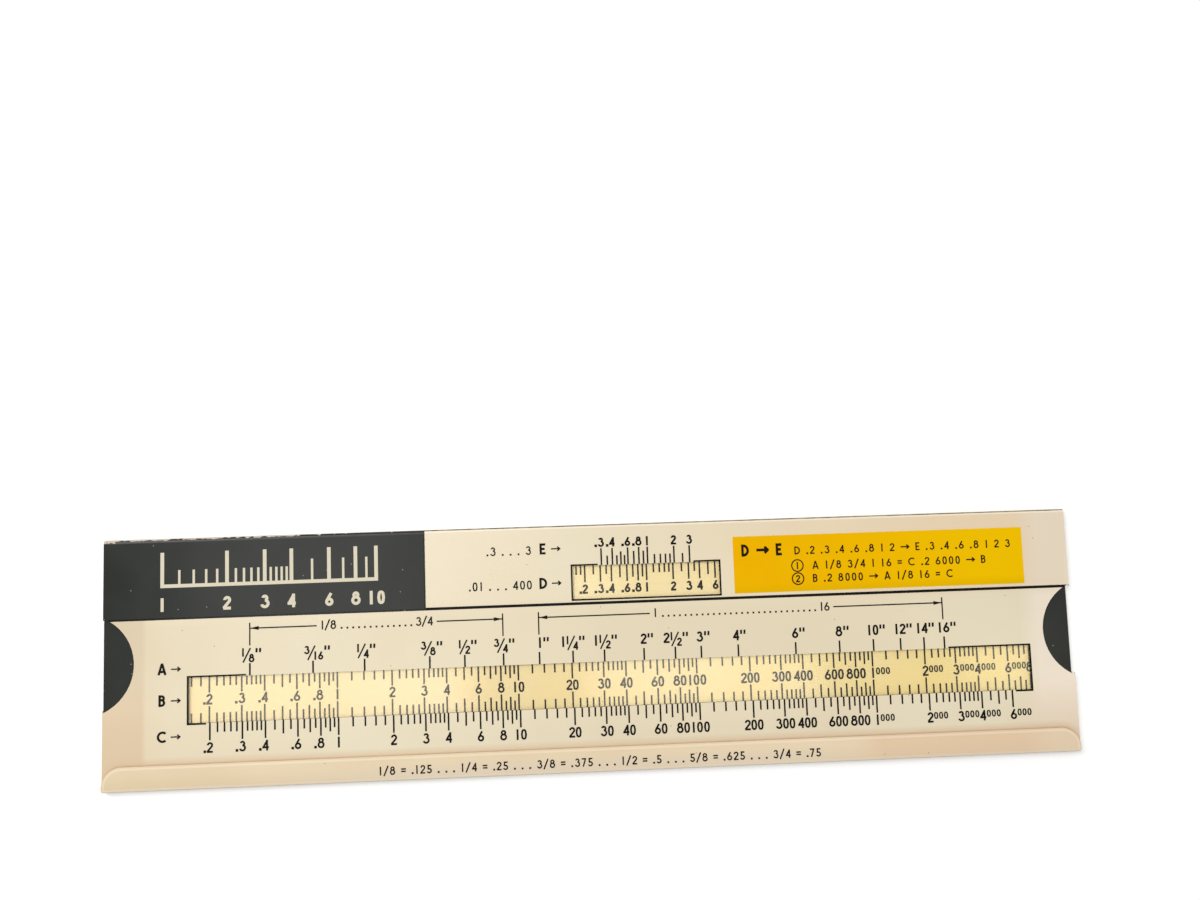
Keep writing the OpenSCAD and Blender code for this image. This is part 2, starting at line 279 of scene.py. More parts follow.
def cut_edge():
    """Rounded cut edge of the sheet, painted pale as a highlight."""
    material, tree, place = start_material("cut_edge")
    wear_and_sheen_noise = add(tree, "TexNoise", {"Vector": place, "Scale": repeats(6), "Detail": 3.0}).outputs["Fac"]
    colour = tint(tree, "#f6e4c8", "#efdabb", (wear_and_sheen_noise, 0.35, 0.65))
    return close_material(material, {"Base Color": colour, "Roughness": 0.4, "IOR": VINYL_IOR})


# Share of light that clear vinyl mirrors when it is seen head on
HEAD_ON = 0.04


def clear_vinyl():
    """Press-polished clear vinyl, a little yellowed: it filters what lies under it and has a wet gloss."""
    material, tree, place = start_material("clear_vinyl")
    yellowing = add(tree, "TexNoise", {"Vector": place, "Scale": repeats(30), "Detail": 2.0}).outputs["Fac"]
    filtered = tint(tree, "#fffdf9", "#fffcf4", (yellowing, 0.3, 0.7))
    film = add(tree, "BsdfTransparent", {"Color": filtered}).outputs[0]
    gloss = add(tree, "BsdfGlossy", {"Color": WHITE, "Roughness": 0.13}).outputs[0]
    facing = add(tree, "LayerWeight", {"Blend": 0.5}).outputs["Facing"]
    grazing = add(tree, "Math", {0: facing, 1: 5.0}, operation="POWER").outputs[0]
    mirrored = add(tree, "MapRange", {"Value": grazing, "To Min": HEAD_ON, "To Max": 1.0}).outputs["Result"]
    pane = add(tree, "MixShader", {0: mirrored, 1: film, 2: gloss}).outputs[0]
    add(tree, "OutputMaterial", {"Surface": pane})
    return material


def slide_vinyl():
    """Cream vinyl sheet of the slide: satin, more yellow to the right, finely rubbed along its travel."""
    material, tree, place = start_material("slide_vinyl")
    x, y, _ = axes_mm(tree, place)
    colour = tint(tree, "#f9eac1", "#fff0b8", (x, -60, 90))
    colour = tint(tree, colour, "#fff3cc", (y, -4, 12, 0.8))
    along = add(tree, "Mapping", {"Vector": place, "Scale": (0.02, 1.0, 1.0)}).outputs["Vector"]
    rubbing = add(tree, "TexNoise", {"Vector": along, "Scale": repeats(0.6), "Detail": 2.0}).outputs["Fac"]
    colour = tint(tree, colour, "#e2c98a", (rubbing, 0.55, 0.75, 0.12))
    colour = tint(tree, colour, "#9b8252", specks(tree, place, 11, 0.14, 0.2))
    rough = add(tree, "MapRange", {"Value": rubbing, "To Min": 0.35, "To Max": 0.5}).outputs["Result"]
    return close_material(material, {"Base Color": colour, "Roughness": rough, "IOR": VINYL_IOR})


def charcoal_ink():
    """Solid charcoal print under gloss: dusty, blacker along its edges, chipped bare on the fold."""
    material, tree, place = start_material("charcoal_ink")
    x, y, z = axes_mm(tree, place)
    mottle = add(tree, "TexNoise", {"Vector": place, "Scale": repeats(14), "Detail": 3.0}).outputs["Fac"]
    colour = tint(tree, "#2a2c29", "#2f312e", (mottle, 0.35, 0.65))
    lower_line = share(tree, (y, HEADER_LOW.y + 0.55, HEADER_LOW.y + 0.45))
    right_line = share(tree, (x, HEADER_HIGH.x - 0.4, HEADER_HIGH.x - 0.3))
    line = add(tree, "Math", {0: lower_line, 1: right_line}, operation="MAXIMUM").outputs[0]
    colour = tint(tree, colour, "#141312", line, (z, FACE_Z - 0.1, FACE_Z))
    colour = tint(tree, colour, "#8d8f88", specks(tree, place, 6.4, 0.17, 0.28))
    # The bend catches light, and its ridge and left corner have lost ink
    colour = tint(tree, colour, "#49484b", (y, 30.9, 31.1), (y, 31.6, 31.45, 0.7))
    flaking = add(tree, "TexNoise", {"Vector": place, "Scale": repeats(1.8), "Detail": 5.0}).outputs["Fac"]
    ridge = share(tree, (y, 31.45, 31.9), (x, -48, -85, 0.28))
    corner = share(tree, (y, 30.8, 31.3), (x, -122, -124.5, 0.26))
    wear = add(tree, "Math", {0: ridge, 1: corner}, operation="ADD").outputs[0]
    loss = add(tree, "Math", {0: flaking, 1: wear}, operation="ADD").outputs[0]
    colour = tint(tree, colour, "#cbbcaa", (loss, 0.66, 0.7), (wear, 0.01, 0.03))
    rough = add(tree, "MapRange", {"Value": mottle, "To Min": 0.16, "To Max": 0.24}).outputs["Result"]
    links = {"Base Color": colour, "Roughness": rough, "IOR": INK_IOR, "Specular IOR Level": 0.25}
    return close_material(material, links)


def line_ink(name, solid, thin):
    """Line print: a thin film of ink that covers a little unevenly."""
    material, tree, place = start_material(name)
    cover = add(tree, "TexNoise", {"Vector": place, "Scale": repeats(0.5), "Detail": 3.0}).outputs["Fac"]
    colour = tint(tree, solid, thin, (cover, 0.55, 0.8))
    links = {"Base Color": colour, "Roughness": 0.45, "IOR": INK_IOR, "Specular IOR Level": 0.15}
    return close_material(material, links)


def yellow_ink():
    """Solid yellow print: deep, a little lighter where it is thin, satin like the sheet."""
    material, tree, place = start_material("yellow_ink")
    x, y, _ = axes_mm(tree, place)
    cover = add(tree, "TexNoise", {"Vector": place, "Scale": repeats(6), "Detail": 4.0}).outputs["Fac"]
    full = tint(tree, "#edb000", "#efbe00", (x, 45, 105))
    colour = tint(tree, full, "#f0c000", (cover, 0.3, 0.75, 0.3))
    colour = tint(tree, colour, "#e0b000", (y, 15, 13, 0.7))
    links = {"Base Color": colour, "Roughness": 0.4, "IOR": INK_IOR, "Specular IOR Level": 0.02}
    return close_material(material, links)


def solvent_cement():
    """Dried solvent cement between the flap and the panel: clear brown, glossy, streaky."""
    material, tree, place = start_material("solvent_cement")
    streak = add(tree, "TexNoise", {"Vector": place, "Scale": repeats(3), "Detail": 3.0}).outputs["Fac"]
    colour = tint(tree, "#d8c08a", "#c2a66c", streak)
    return close_material(material, {"Base Color": colour, "Roughness": 0.25, "IOR": INK_IOR})


IVORY = vinyl_sheet()
FLAP_IVORY = flap_vinyl()
EDGE_IVORY = cut_edge()
PANE = clear_vinyl()
CARD = slide_vinyl()
CHARCOAL = charcoal_ink()
BLACK = line_ink("black_ink", "#0f0d0b", "#1d1a17")
LABEL_INK = line_ink("label_ink", "#1d0f04", "#2c1a08")
IVORY_PRINT = line_ink("ivory_print", "#ddd4bd", "#cfc5ad")
YELLOW = yellow_ink()
CEMENT = solvent_cement()


# Pen strokes and signs

ARC_STEP = math.radians(20)
# Points closer than this are one
JOIN = 1e-4
# Bare share on each side of a 1, and the width of a dot over the pen's
SIDE = 0.13
DOT_SHARE = 1.35
# Share of the ink's thickness by which a stroke stands over the one that it crosses
STROKE_LIFT = 0.06


def verts_in(geometry):
    """The vertices in what an operator made."""
    return [g for g in geometry if isinstance(g, bmesh.types.BMVert)]


def near(edge, point):
    """True if the edge's middle is at the point."""
    return ((edge.verts[0].co + edge.verts[1].co) / 2 - point).length < JOIN


def draw_stroke(shape, pen, x, y, heading, moves):
    """Draws one stroke: the pen's edge is extruded by each length and spun by each (radius, left turn)."""
    heading = math.radians(heading)
    at = Vector((x, y, 0))
    left = Vector((-math.sin(heading), math.cos(heading), 0))
    ends = [shape.verts.new(at + left * side * pen / 2) for side in (1, -1)]
    edge = shape.edges.new(ends)
    for move in moves:
        left = Vector((-math.sin(heading), math.cos(heading), 0))
        if isinstance(move, tuple):
            radius, turn = move[0], math.radians(move[1])
            centre = at + left * math.copysign(radius, turn)
            steps = max(2, round(abs(turn) / ARC_STEP))
            made = bmesh.ops.spin(
                shape, geom=[edge, *edge.verts], cent=centre, axis=(0, 0, 1), angle=turn, steps=steps
            )["geom_last"]
            at = centre + Matrix.Rotation(turn, 3, "Z") @ (at - centre)
            heading += turn
        else:
            ahead = Vector((math.cos(heading), math.sin(heading), 0)) * move
            made = bmesh.ops.extrude_edge_only(shape, edges=[edge])["geom"]
            bmesh.ops.translate(shape, vec=ahead, verts=verts_in(made))
            at = at + ahead
        edge = next(g for g in made if isinstance(g, bmesh.types.BMEdge) and near(g, at))


def straight(x0, y0, x1, y1):
    """Stroke from one point to another."""
    return x0, y0, math.degrees(math.atan2(y1 - y0, x1 - x0)), [math.hypot(x1 - x0, y1 - y0)]


def oval(a, b):
    """Moves round an upright oval of half-width a and half-height b, from its top to the left."""
    end = 0.8 * a
    side = (a * a + (b - end) ** 2 - end * end) / (2 * (a - end))
    lean = math.degrees(math.atan2(b - end, side - a))
    return [(end, 90 - lean), (side, 2 * lean), (end, 180 - 2 * lean), (side, 2 * lean), (end, 90 - lean)]


def strokes_of(sign, pen):
    """Width of a sign and its strokes, for a pen of that width. All are shares of the sign's height."""
    half = pen / 2
    top = 1 - half
    # Outer radii of the upper and lower bowl of 3, 8 and B, and the pen's radius in the bowl of 5, 6 and 9
    upper = 0.26
    lower = (1 + pen) / 2 - upper
    bowl = 0.31 - half
    if sign == "0":
        return 0.58, [(0.29, top, 180, oval(0.29 - half, 0.5 - half))]
    if sign == "1":
        return pen + 2 * SIDE, [(half + SIDE, 0, 90, [1])]
    if sign == "2":
        arc = 0.29 - half
        drop = (0.71 - arc * math.sin(math.radians(40)) - half) / math.sin(math.radians(50))
        return 0.56, [(half, 0.71, 90, [(arc, -220), drop]), (0, half, 0, [0.56])]
    if sign == "3":
        start = math.radians(165)
        x, y = lower + (upper - half) * math.cos(start), 1 - upper + (upper - half) * math.sin(start)
        return 2 * lower, [
            (x, y, 75, [(upper - half, -255)]),
            (lower, 2 * lower - half, 0, [(lower - half, -255)]),
        ]
    if sign == "4":
        return 0.6, [(0.44, 0, 90, [1]), (0, 0.3, 0, [0.6]), straight(half, 0.3, 0.44, top)]
    if sign == "5":
        start = math.radians(135)
        x, y = 0.29 + bowl * math.cos(start), 0.31 + bowl * math.sin(start)
        return 0.6, [
            (0.14, top, 0, [0.41]),
            straight(0.17, 1, x + half / 2, y),
            (x, y, 45, [(bowl, -295)]),
        ]
    if sign in "69":
        touch, lean = math.radians(150), math.radians(60)
        x, y = 0.31 + bowl * math.cos(touch), 0.31 + bowl * math.sin(touch)
        stem = (1 - half / 2 - y) / math.sin(lean)
        x, y = x + stem * math.cos(lean), y + stem * math.sin(lean)
        if sign == "9":
            return 0.62, [(0.31, 1 - half, 180, [(bowl, 360)]), (0.62 - x, 1 - y, 60, [stem])]
        return 0.62, [(0.31, half, 0, [(bowl, 360)]), (x, y, -120, [stem])]
    if sign == "7":
        return 0.54, [(0, top, 0, [0.54]), straight(0.54 - half, top, 0.17, 0)]
    if sign == "8":
        return 2 * lower, [
            (lower, top, 180, [(upper - half, 360)]),
            (lower, half, 0, [(lower - half, 360)]),
        ]
    if sign == ".":
        return pen, [(0, half, 0, [pen])]
    if sign == "/":
        return 0.5, [straight(0, -0.1, 0.5, 1.1)]
    if sign == '"':
        ticks = (half, half + 0.33)
        return 0.33 + pen, [straight(x, 0.6, x + 0.02, 1) for x in ticks]
    if sign == "=":
        return 0.55, [(0, 0.36, 0, [0.55]), (0, 0.64, 0, [0.55])]
    if sign == ">":
        return 1.1, [(0, 0.5, 0, [1.05]), straight(0.75, 0.75, 1.1, 0.47), straight(0.75, 0.25, 1.1, 0.53)]
    if sign == "A":
        return 0.8, [straight(half, 0, 0.4, 1), straight(0.8 - half, 0, 0.4, 1), (0.16, 0.28, 0, [0.48])]
    if sign == "B":
        return 0.25 + lower, [
            (half, 0, 90, [1]),
            (half, top, 0, [0.2, (upper - half, -180), 0.2]),
            (half, 2 * lower - half, 0, [0.25 - half, (lower - half, -180), 0.25 - half]),
        ]
    if sign == "C":
        start = math.radians(48)
        arc = 0.5 - half
        return 0.86, [(0.5 + arc * math.cos(start), 0.5 + arc * math.sin(start), 138, [(arc, 264)])]
    if sign == "D":
        return 0.7, [(half, 0, 90, [1]), (half, top, 0, [0.2 - half, (0.5 - half, -180), 0.2 - half])]
    if sign == "E":
        bars = ((half, 0.43), (0.5, 0.36), (top, 0.43))
        return 0.5, [(half, 0, 90, [1]), *((half, y, 0, [length]) for y, length in bars)]
    return 0.3, []


def add_stroke(shape, pen, stroke, z, height):
    """Adds one stroke to a shape as a solid of that height on the level z."""
    ribbon = bmesh.new()
    draw_stroke(ribbon, pen, *stroke)
    bmesh.ops.remove_doubles(ribbon, verts=ribbon.verts, dist=JOIN)
    raised = bmesh.ops.extrude_face_region(ribbon, geom=ribbon.faces[:])["geom"]
    bmesh.ops.translate(ribbon, vec=(0, 0, height), verts=verts_in(raised))
    bmesh.ops.translate(ribbon, vec=(0, 0, z), verts=ribbon.verts)
    bmesh.ops.recalc_face_normals(ribbon, faces=ribbon.faces)
    mesh = bpy.data.meshes.new("stroke")
    ribbon.to_mesh(mesh)
    ribbon.free()
    shape.from_mesh(mesh)


signs = {}


def sign_mesh(sign, pen):
    """Width of a sign and its mesh, 1 high and 1 thick. Each is drawn once."""
    if (sign, pen) not in signs:
        weight = pen * DOT_SHARE if sign == "." else pen
        width, strokes = strokes_of(sign, weight)
        shape = bmesh.new()
        for i, stroke in enumerate(strokes):
            add_stroke(shape, weight, stroke, 0, 1 + i * STROKE_LIFT)
        mesh = bpy.data.meshes.new("sign")
        shape.to_mesh(mesh)
        shape.free()
        signs[sign, pen] = width, mesh
    return signs[sign, pen]


# Gap between signs, over their height, where nothing else is given
SPACING = 0.1


def text_width(text, size, pen, spacing=SPACING, condensed=1.0):
    """Length of a line of signs."""
    return (sum(sign_mesh(sign, pen)[0] for sign in text) + spacing * (len(text) - 1)) * size * condensed


def write(shape, text, x, y, z, size, pen, spacing=SPACING, condensed=1.0, anchor=0.5):
    """Prints a line of signs on the level z, standing on y, with that share of its length left of x.

    The pen and the spacing are shares of the size. Returns where the next sign would start.
    """
    x = x - anchor * text_width(text, size, pen, spacing, condensed)
    for sign in text:
        width, mesh = sign_mesh(sign, pen)
        before = len(shape.verts)
        shape.from_mesh(mesh)
        shape.verts.ensure_lookup_table()
        put = Matrix.Translation((x, y, z)) @ Matrix.Diagonal((size * condensed, size, INK_T, 1))
        bmesh.ops.transform(shape, matrix=put, verts=shape.verts[before:])
        x = x + (width + spacing) * size * condensed
    return x


def finish_piece(shape, name, body, material):
    """Turns a shape drawn in millimetres into a piece that rides on a body."""
    bmesh.ops.scale(shape, vec=(MM, MM, MM), verts=shape.verts)
    mesh = bpy.data.meshes.new(name)
    shape.to_mesh(mesh)
    shape.free()
    piece = bpy.data.objects.new(name, mesh)
    bpy.context.scene.collection.objects.link(piece)
    mesh.materials.append(material)
    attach(piece, body)
    return piece


# Figures of the scales: their height, their pen as a share of it, and where they stand

MAIN_STYLE = {"size": 2.7, "pen": 0.178}
UPPER_STYLE = {"size": 2.45, "pen": 0.205}
FIXED_FIGURE_Y = -22.95
FLOW_FIGURE_Y = -10.9
GRAVITY_FIGURE_Y = 26.05
PRESSURE_FIGURE_Y = 13.9
# Gaps between the figures of a value, over their height: wider after a 1
FIGURE_SPACING = 0.055
ONE_SPACING = 0.1
# Height of raised zeros over the figure's, and how much they are widened
RAISED_SHARE = 0.67
RAISED_WIDTH = 1.08
# Gap between a dot or a raised zero and the first figure, over the figure's height
POINT_GAP = 0.07
# Gap between the slide's dark end and a figure that stands next to it
DARK_GAP = 0.08
# First figures of the values that are numbered, in a full decade and in a sparse one
NUMBERED = (1, 2, 3, 4, 6, 8)
SPARSE = (1, 2, 4)


def write_value(shape, mark, exponent, x, y, z, size, pen):
    """Prints a value so that its first figure, or all of it up to hundreds, is centred at x.

    Thousands have small raised zeros, but the one next to the slide's dark end has no room for them.
    """
    half_figure = sign_mesh(str(mark), pen)[0] * size / 2
    if exponent < 0:
        write(shape, str(mark), x, y, z, size, pen)
        zeros = "." + "0" * (-exponent - 1)
        write(shape, zeros, x - half_figure - POINT_GAP * size, y, z, size, pen, anchor=1)
    elif exponent < 3:
        spacing = ONE_SPACING if mark == 1 else FIGURE_SPACING
        write(shape, str(mark) + "0" * exponent, x, y, z, size, pen, spacing)
    else:
        zeros = "0" * exponent
        small = size * RAISED_SHARE
        after = x + half_figure + POINT_GAP * size
        if after + text_width(zeros, small, pen, condensed=RAISED_WIDTH) < DARK_END:
            write(shape, zeros, after, y + size - small, z, small, pen, condensed=RAISED_WIDTH, anchor=0)
        else:
            x = DARK_END - DARK_GAP - half_figure
        write(shape, str(mark), x, y, z, size, pen)


def scale_figures(name, body, values, x_of, y, style):
    """Piece with the figures of one scale, on the sleeve's face or on the slide where it rests."""
    shape = bmesh.new()
    shift, z = (SLIDE_SHIFT, SLIDE_Z) if body == "slide" else (0, FACE_Z)
    for exponent, mark in values:
        write_value(shape, mark, exponent, x_of(mark * 10.0**exponent) + shift, y, z, **style)
    finish_piece(shape, name, body, BLACK)


# Each value as its exponent and its first figure
flow_values = [(e, m) for e in range(-1, 4) for m in NUMBERED]
fixed_values = [(e, m) for e, m in flow_values if 0.15 < m * 10.0**e < 6500]
gravity_values = [(e, m) for e, m in flow_values if 0.25 < m * 10.0**e < 3.5]
pressure_values = [(e, m) for e in range(-2, 3) for m in (NUMBERED if e in (-1, 0) else SPARSE)]
scale_figures("fixed_figures", "sleeve", fixed_values, main_x, FIXED_FIGURE_Y, MAIN_STYLE)
scale_figures("gravity_figures", "sleeve", gravity_values, upper_x, GRAVITY_FIGURE_Y, UPPER_STYLE)
scale_figures("flow_figures", "slide", flow_values, main_x, FLOW_FIGURE_Y, MAIN_STYLE)
scale_figures("pressure_figures", "slide", pressure_values, upper_x, PRESSURE_FIGURE_Y, UPPER_STYLE)


# Figures of the sizes row

SIZE_FIGURE_Y = 0.35
SIZE_FIGURE_H = 2.72
SIZE_PEN = 0.185
# Capacity that each size points to on the fixed scale
SIZES = {
    "1/8": 0.33, "3/16": 0.73, "1/4": 1.4, "3/8": 3.2, "1/2": 5, "3/4": 8.2,
    "1": 13, "1 1/4": 20, "1 1/2": 30, "2": 50, "2 1/2": 75, "3": 105, "4": 170, "6": 360, "8": 640,
    "10": 1000, "12": 1430, "14": 1950, "16": 2550,
}  # fmt: skip
# Places where the lettering stands off its mark
SIZE_SHIFTS = {
    "1/8": -0.4, "1/4": -0.3, "1/2": 0.1, "3/4": -0.2, "1": 0.2, "1 1/2": 0.35, "2 1/2": 0.45,
    "3": -0.3, "4": -0.45, "14": -0.4,
}  # fmt: skip
FRACTION_H = 2.15
FRACTION_PEN = 0.2
FRACTION_TOP = 3.15
FRACTION_BOTTOM = -0.5
# The slash: its run, its width, how far it stands over the ink, and its middle's place from the mark
SLASH_W = 1.87
SLASH_PEN = 0.36
SLASH_LIFT = 4 * STROKE_LIFT
SLASH_SHIFT = -0.4
# Middle of the slash to the figures above and below it, and the gaps to what stands beside them
ABOVE_GAP = 0.45
BELOW_GAP = 0.5
WHOLE_GAP = 0.05
INCH_GAP = 0.28


def write_fraction(shape, whole, above, below, x):
    """Prints a fraction whose slash crosses x, after its whole number, and returns where it ends."""
    at = x - ABOVE_GAP - text_width(above, FRACTION_H, FRACTION_PEN)
    write(shape, above, at, FRACTION_TOP - FRACTION_H, FACE_Z, FRACTION_H, FRACTION_PEN, anchor=0)
    slash = straight(x - SLASH_W / 2, FRACTION_BOTTOM, x + SLASH_W / 2, FRACTION_TOP)
    add_stroke(shape, SLASH_PEN, slash, FACE_Z, INK_T * (1 + SLASH_LIFT))
    write(shape, whole, at - WHOLE_GAP, SIZE_FIGURE_Y, FACE_Z, SIZE_FIGURE_H, SIZE_PEN, anchor=1)
    write(shape, below, x + BELOW_GAP, FRACTION_BOTTOM, FACE_Z, FRACTION_H, FRACTION_PEN, anchor=0)
    return x + BELOW_GAP + text_width(below, FRACTION_H, FRACTION_PEN)


def size_figures():
    """Sizes in inches over the marks that point down to the main window."""
    shape = bmesh.new()
    for text, capacity in SIZES.items():
        x = main_x(capacity) + SIZE_SHIFTS.get(text, 0)
        if "/" in text:
            whole, _, fraction = text.rpartition(" ")
            end = write_fraction(shape, whole, *fraction.split("/"), x + SLASH_SHIFT)
        else:
            write(shape, text, x, SIZE_FIGURE_Y, FACE_Z, SIZE_FIGURE_H, SIZE_PEN)
            end = x + text_width(text, SIZE_FIGURE_H, SIZE_PEN) / 2
        write(shape, '"', end + INCH_GAP, SIZE_FIGURE_Y, FACE_Z, SIZE_FIGURE_H, SIZE_PEN, anchor=0)
    finish_piece(shape, "size_figures", "sleeve", BLACK)


size_figures()


# Sleeve and slide as one folded sheet and one card

EDGE_SOFTENING = 0.1
FLAP_SOFTENING = 0.42
SHEET_NODES = ("front_panel", "back_panel", "top_fold", "bottom_fold", "seal_flap")
FOLD_SEAMS = (box_mm("top_fold")[0].y, box_mm("bottom_fold")[1].y)
# Edges that turn more than this are softened, and those that turn more than the next are shaded sharp
SOFTENED_ANGLE = math.radians(40)
SHARP_ANGLE = math.radians(30)
# Faces that turn less than this are one
FLAT_ANGLE = math.radians(1)
# How close two vertices are to be one, a face to a seam to lie in it, and an edge to the flap's top
MERGED = 0.002
IN_SEAM = 0.005
ON_TOP = 0.01
# Z of an upright face's normal at most, and of a level one's at least
UPRIGHT = 0.1
LEVEL = 0.99
# How far a window's walls and edges may lie past its pane, and a face of the flap past the flap's bounds
WINDOW_REACH = 1
FLAP_REACH = 0.1


def soften(shape, radius, chosen):
    """Rounds the sharp edges that are chosen."""
    sharp = [e for e in shape.edges if e.is_manifold and e.calc_face_angle() > SOFTENED_ANGLE and chosen(e)]
    rounding = {"offset": radius, "segments": 3, "profile": 0.5, "clamp_overlap": True}
    bmesh.ops.bevel(shape, geom=sharp, affect="EDGES", material=-1, **rounding)


def merged_copy(names, seams=()):
    """Merged copy of CAD solids, in millimetres, without the faces that lie in a seam."""
    shape = bmesh.new()
    for name in names:
        shape.from_mesh(nodes[name].data)
    bmesh.ops.scale(shape, vec=(1 / MM, 1 / MM, 1 / MM), verts=shape.verts)
    bmesh.ops.remove_doubles(shape, verts=shape.verts, dist=MERGED)
    inner = [f for f in shape.faces if any(all(abs(v.co.y - y) < IN_SEAM for v in f.verts) for y in seams)]
    bmesh.ops.delete(shape, geom=inner, context="FACES_ONLY")
    bmesh.ops.dissolve_limit(shape, angle_limit=FLAT_ANGLE, verts=shape.verts, edges=shape.edges)
    return shape


def flap_edge(edge):
    """True for the edges round the top of the flap."""
    return all(v.co.z > FLAP_Z - ON_TOP and v.co.y > FOLD_SEAMS[1] - ON_TOP for v in edge.verts)


def outer_edge(edge):
    """True for the edges of the ends, the notches and the flap, which are not a window's."""
    left, right = MAIN_LOW.x - WINDOW_REACH, MAIN_HIGH.x + WINDOW_REACH
    return not all(left < v.co.x < right and v.co.z < FACE_Z + INK_T / 2 for v in edge.verts)


def window_wall(face):
    """True for the faces round the inside of a window, which take the black ink: partly the outline's ink
    running down them, partly painted shade in the window's recess.
    """
    if abs(face.normal.z) > UPRIGHT:
        return False
    at = face.calc_center_median()
    reach = Vector((WINDOW_REACH, WINDOW_REACH))
    for low, high in ((MAIN_LOW, MAIN_HIGH), (UPPER_LOW, UPPER_HIGH)):
        (left, lower), (right, upper) = low.xy - reach, high.xy + reach
        if left < at.x < right and lower < at.y < upper:
            return True
    return False


def sheet_finish(face):
    """Place, in the sleeve's list of finishes, of a face's finish."""
    if window_wall(face):
        # Window walls take the black ink, partly as painted shade in the recess
        return 3
    at = face.calc_center_median()
    sloped = abs(face.normal.z) < LEVEL
    # The flap's rounded edge takes the pale cut-edge finish, a painted highlight
    if sloped and at.z > FLAP_Z - FLAP_SOFTENING and at.y > FOLD_SEAMS[1] + FLAP_REACH:
        return 2
    on_flap = at.z > FACE_Z + INK_T / 4 and at.y < FLAP_TOP + FLAP_REACH
    return 1 if on_flap or at.y < FOLD_SEAMS[1] else 0


def smooth(piece):
    """Smooth shading that keeps sharp edges."""
    piece.data.shade_smooth()
    piece.data.set_sharp_from_angle(angle=SHARP_ANGLE)


def sleeve_sheet():
    """The sleeve as one folded sheet. The flap, its edge and the window walls have their own finishes."""
    shape = merged_copy(SHEET_NODES, FOLD_SEAMS)
    soften(shape, FLAP_SOFTENING, flap_edge)
    soften(shape, EDGE_SOFTENING, outer_edge)
    shape.normal_update()
    for face in shape.faces:
        face.material_index = sheet_finish(face)
    bmesh.ops.triangulate(shape, faces=[f for f in shape.faces if len(f.verts) > 4])
    sheet = finish_piece(shape, "sleeve_sheet", "sleeve", IVORY)
    for finish in (FLAP_IVORY, EDGE_IVORY, BLACK):
        sheet.data.materials.append(finish)
    smooth(sheet)
    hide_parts(*SHEET_NODES)


def slide_sheet():
    """The slide's card with softened edges."""
    shape = merged_copy(["slide_card"])
    soften(shape, EDGE_SOFTENING, lambda edge: True)
    card = finish_piece(shape, "slide_sheet", "slide", CARD)
    smooth(card)
    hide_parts("slide_card")


sleeve_sheet()
slide_sheet()


# Letters and ranges that name the scales

LETTER_H = 2.9
BOLD = 0.2
# Where the arrow of each letter stands, and how far left of it the letter is
LETTERS = {"A": (-109, -2.9), "B": (-109, -10.9), "C": (-109, -20), "D": (-10.5, 15.6), "E": (-10.5, 24.6)}
LETTER_GAP = 3
ARROW_H = LETTER_H * 0.75
ARROW_LIFT = 0.3
LEGEND_H = 2.3
LEGEND_PEN = 0.15
LEGEND_SPACING = 0.2
RANGE_END = -16.5
RANGES = {"E": ".3 . . . 3", "D": ".01 . . . 400"}
# Legends of the brackets: their foot, the gap in each bracket's line, its bare ends, and the dots' spacing
BRACKET_Y = 7.2
BRACKET_GAPS = {("1/8", "3/4"): 31, ("1", "16"): 48.8}
BRACKET_BARE = 1
DOT_STEP = 1.5


def print_letters():
    """Letters that name the five scales, with an arrow to each scale, and the ranges of the upper ones."""
    shape = bmesh.new()
    for letter, (x, y) in LETTERS.items():
        write(shape, letter, x - LETTER_GAP, y, FACE_Z, LETTER_H, BOLD)
        write(shape, ">", x, y + ARROW_LIFT, FACE_Z, ARROW_H, LEGEND_PEN, anchor=0.3)
    for letter, text in RANGES.items():
        y = LETTERS[letter][1]
        write(shape, text, RANGE_END, y, FACE_Z, LEGEND_H, LEGEND_PEN, LEGEND_SPACING, anchor=1)
    finish_piece(shape, "scale_letters", "sleeve", BLACK)


def write_leader(shape, first, last, x0, x1):
    """Prints two legends joined by a row of dots between x0 and x1."""
    style = BRACKET_Y, FACE_Z, LEGEND_H, LEGEND_PEN
    start = write(shape, first, x0, *style, anchor=0)
    end = x1 - text_width(last, LEGEND_H, LEGEND_PEN)
    write(shape, last, x1, *style, anchor=1)
    count = int((end - start - DOT_STEP) / DOT_STEP)
    for i in range(count + 1):
        write(shape, ".", (start + end) / 2 + (i - count / 2) * DOT_STEP, *style)


def bracket_legends():
    """Range of sizes in the gap of each bracket's line."""
    shape = bmesh.new()
    for (first, last), gap in BRACKET_GAPS.items():
        middle = (main_x(SIZES[first]) + main_x(SIZES[last])) / 2
        reach = gap / 2 - BRACKET_BARE
        write_leader(shape, first, last, middle - reach, middle + reach)
    finish_piece(shape, "bracket_legends", "sleeve", BLACK)


# Row of decimal equivalents along the flap

FLAP_ROW = ("1/8 = .125", "1/4 = .25", "3/8 = .375", "1/2 = .5", "5/8 = .625", "3/4 = .75")
FLAP_ROW_X = 0.3
FLAP_ROW_Y = -30.3
FLAP_ROW_H = 2.15
FLAP_ROW_PEN = 0.16


def flap_figures():
    """Row of decimal equivalents along the flap."""
    shape = bmesh.new()
    text = " . . . ".join(FLAP_ROW)
    write(shape, text, FLAP_ROW_X, FLAP_ROW_Y, FLAP_Z, FLAP_ROW_H, FLAP_ROW_PEN, LEGEND_SPACING)
    finish_piece(shape, "flap_figures", "sleeve", BLACK)


# Scale in the header: the place of 1, the length of its decade and the level of its marks

HEADER_ONE = -112
HEADER_DECADE = 55
HEADER_MARK_Y = 20.2
HEADER_NUMBERED = (*NUMBERED, 10)
